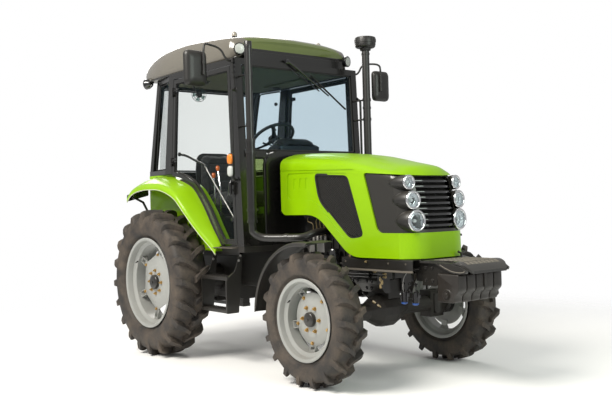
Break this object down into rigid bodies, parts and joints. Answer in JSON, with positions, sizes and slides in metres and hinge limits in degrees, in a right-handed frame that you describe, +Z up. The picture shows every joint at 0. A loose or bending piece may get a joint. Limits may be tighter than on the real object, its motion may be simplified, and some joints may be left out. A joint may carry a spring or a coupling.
{
  "type": "compact cab tractor",
  "caption": "Compact farm tractor with a glazed cab, tilting bonnet, steered front wheels, large lugged rear wheels, front weights and a rear linkage.",
  "frame": {"origin": "on the ground under the middle of the whole length and width", "axes": "+X forward to the bonnet's nose, +Y to the driver's left, +Z up"},
  "size_m": [3.874, 2.18, 2.73],
  "materials": {
    "green": "gloss",
    "black": "satin",
    "plastic": "matte",
    "tyre": "matte",
    "rim": "satin",
    "iron": "matte",
    "roof": "gloss",
    "glass": "clear",
    "seat": "matte"
  },
  "bodies": {
    "chassis": {"front_axle": "iron", "engine_block": "iron", "radiator": "black", "transmission": "iron", "front_frame": "black", "rear_fender_left": "green", "rear_fender_right": "green", "cab_floor": "black", "cab_frame": "black", "roof": "roof", "windscreen": "glass", "rear_window": "glass", "quarter_glass_left": "glass", "quarter_glass_right": "glass", "cowl_glass_left": "glass", "cowl_glass_right": "glass", "dashboard": "plastic", "seat_base": "black", "seat_cushion": "seat", "seat_back": "seat", "exhaust_stack": "black", "intake_stack": "black", "mirror_left": "plastic", "mirror_right": "plastic", "handrail_left": "black", "handrail_right": "black", "step_left": "black", "step_right": "black", "fuel_tank": "plastic", "weight_carrier": "black", "front_weights": "iron", "drawbar": "iron"},
    "front_knuckle_left": {"knuckle_left": "iron", "front_fender_left": "plastic"},
    "front_road_wheel_left": {"front_wheel_left": "rim", "front_tyre_left": "tyre"},
    "rear_road_wheel_left": {"rear_wheel_left": "rim", "rear_tyre_left": "tyre"},
    "door_left": {"door_frame_left": "black", "door_glass_left": "glass"},
    "lower_link_left": {"lower_link_left": "iron"},
    "lift_rod_left": {"lift_rod_left": "iron"},
    "front_knuckle_right": {"knuckle_right": "iron", "front_fender_right": "plastic"},
    "front_road_wheel_right": {"front_wheel_right": "rim", "front_tyre_right": "tyre"},
    "rear_road_wheel_right": {"rear_wheel_right": "rim", "rear_tyre_right": "tyre"},
    "door_right": {"door_frame_right": "black", "door_glass_right": "glass"},
    "lower_link_right": {"lower_link_right": "iron"},
    "lift_rod_right": {"lift_rod_right": "iron"},
    "tie_rod": {"tie_rod": "iron"},
    "steering_wheel": {"steering_wheel": "plastic"},
    "bonnet": {"bonnet": "green", "side_vent_left": "plastic", "side_vent_right": "plastic", "grille": "plastic"},
    "lift_arms": {"lift_arms": "iron"},
    "top_link": {"top_link": "iron"}
  },
  "joints": [
    {"name": "steer_right", "type": "hinge", "parent": "chassis", "child": "front_knuckle_right", "pos_m": [0.937, -0.575, 0.47], "axis": [0, 0, 1], "range_deg": [-35, 35]},
    {"name": "steer_left", "type": "hinge", "parent": "chassis", "child": "front_knuckle_left", "pos_m": [0.937, 0.575, 0.47], "axis": [0, 0, 1], "range_deg": [-35, 35]},
    {"name": "front_wheel_spin_right", "type": "hinge", "parent": "front_knuckle_right", "child": "front_road_wheel_right", "pos_m": [0.937, -0.705, 0.47], "axis": [0, 1, 0], "continuous": true},
    {"name": "front_wheel_spin_left", "type": "hinge", "parent": "front_knuckle_left", "child": "front_road_wheel_left", "pos_m": [0.937, 0.705, 0.47], "axis": [0, 1, 0], "continuous": true},
    {"name": "rear_wheel_spin_right", "type": "hinge", "parent": "chassis", "child": "rear_road_wheel_right", "pos_m": [-1.043, -0.825, 0.63], "axis": [0, 1, 0], "continuous": true},
    {"name": "rear_wheel_spin_left", "type": "hinge", "parent": "chassis", "child": "rear_road_wheel_left", "pos_m": [-1.043, 0.825, 0.63], "axis": [0, 1, 0], "continuous": true},
    {"name": "tie_rod_slide", "type": "slide", "parent": "chassis", "child": "tie_rod", "axis": [0, 1, 0], "range_m": [-0.0862, 0.0862]},
    {"name": "steering_wheel_turn", "type": "hinge", "parent": "chassis", "child": "steering_wheel", "pos_m": [-0.393, 0, 1.86], "axis": [-0.5736, 0, 0.8192], "range_deg": [-421, 421]},
    {"name": "door_right_hinge", "type": "hinge", "parent": "chassis", "child": "door_right", "pos_m": [-0.983, -0.664, 2], "axis": [-0.0896, 0, -0.996], "range_deg": [0, 75]},
    {"name": "door_left_hinge", "type": "hinge", "parent": "chassis", "child": "door_left", "pos_m": [-0.983, 0.664, 2], "axis": [0.0896, 0, 0.996], "range_deg": [0, 75]},
    {"name": "bonnet_hinge", "type": "hinge", "parent": "chassis", "child": "bonnet", "pos_m": [0.149, 0, 1.628], "axis": [0, -1, 0], "range_deg": [0, 50]},
    {"name": "lift_arms_turn", "type": "hinge", "parent": "chassis", "child": "lift_arms", "pos_m": [-1.193, 0, 0.905], "axis": [0, 1, 0], "range_deg": [-8, 42]},
    {"name": "lower_link_right_turn", "type": "hinge", "parent": "chassis", "child": "lower_link_right", "pos_m": [-1.133, -0.25, 0.415], "axis": [0, 1, 0], "range_deg": [-5.8, 30.3]},
    {"name": "lift_rod_right_turn", "type": "hinge", "parent": "lift_arms", "child": "lift_rod_right", "pos_m": [-1.473, -0.266, 0.88], "axis": [0, 1, 0], "range_deg": [-47, 9.2]},
    {"name": "lower_link_left_turn", "type": "hinge", "parent": "chassis", "child": "lower_link_left", "pos_m": [-1.133, 0.25, 0.415], "axis": [0, 1, 0], "range_deg": [-5.8, 30.3]},
    {"name": "lift_rod_left_turn", "type": "hinge", "parent": "lift_arms", "child": "lift_rod_left", "pos_m": [-1.473, 0.266, 0.88], "axis": [0, 1, 0], "range_deg": [-47, 9.2]},
    {"name": "top_link_turn", "type": "hinge", "parent": "chassis", "child": "top_link", "pos_m": [-1.328, 0, 0.83], "axis": [0, 1, 0], "range_deg": [-6.5, 33.8]}
  ],
  "couplings": [
    {"joint": "steer_left", "follows": "steer_right", "ratio": 1},
    {"joint": "tie_rod_slide", "follows": "steer_right", "m_per_rad": -0.141},
    {"joint": "steering_wheel_turn", "follows": "steer_right", "ratio": 12},
    {"joint": "lower_link_right_turn", "follows": "lift_arms_turn", "ratio": 0.718},
    {"joint": "lift_rod_right_turn", "follows": "lift_arms_turn", "ratio": -1.11},
    {"joint": "lower_link_left_turn", "follows": "lift_arms_turn", "ratio": 0.718},
    {"joint": "lift_rod_left_turn", "follows": "lift_arms_turn", "ratio": -1.11},
    {"joint": "top_link_turn", "follows": "lift_arms_turn", "ratio": 0.8}
  ]
}
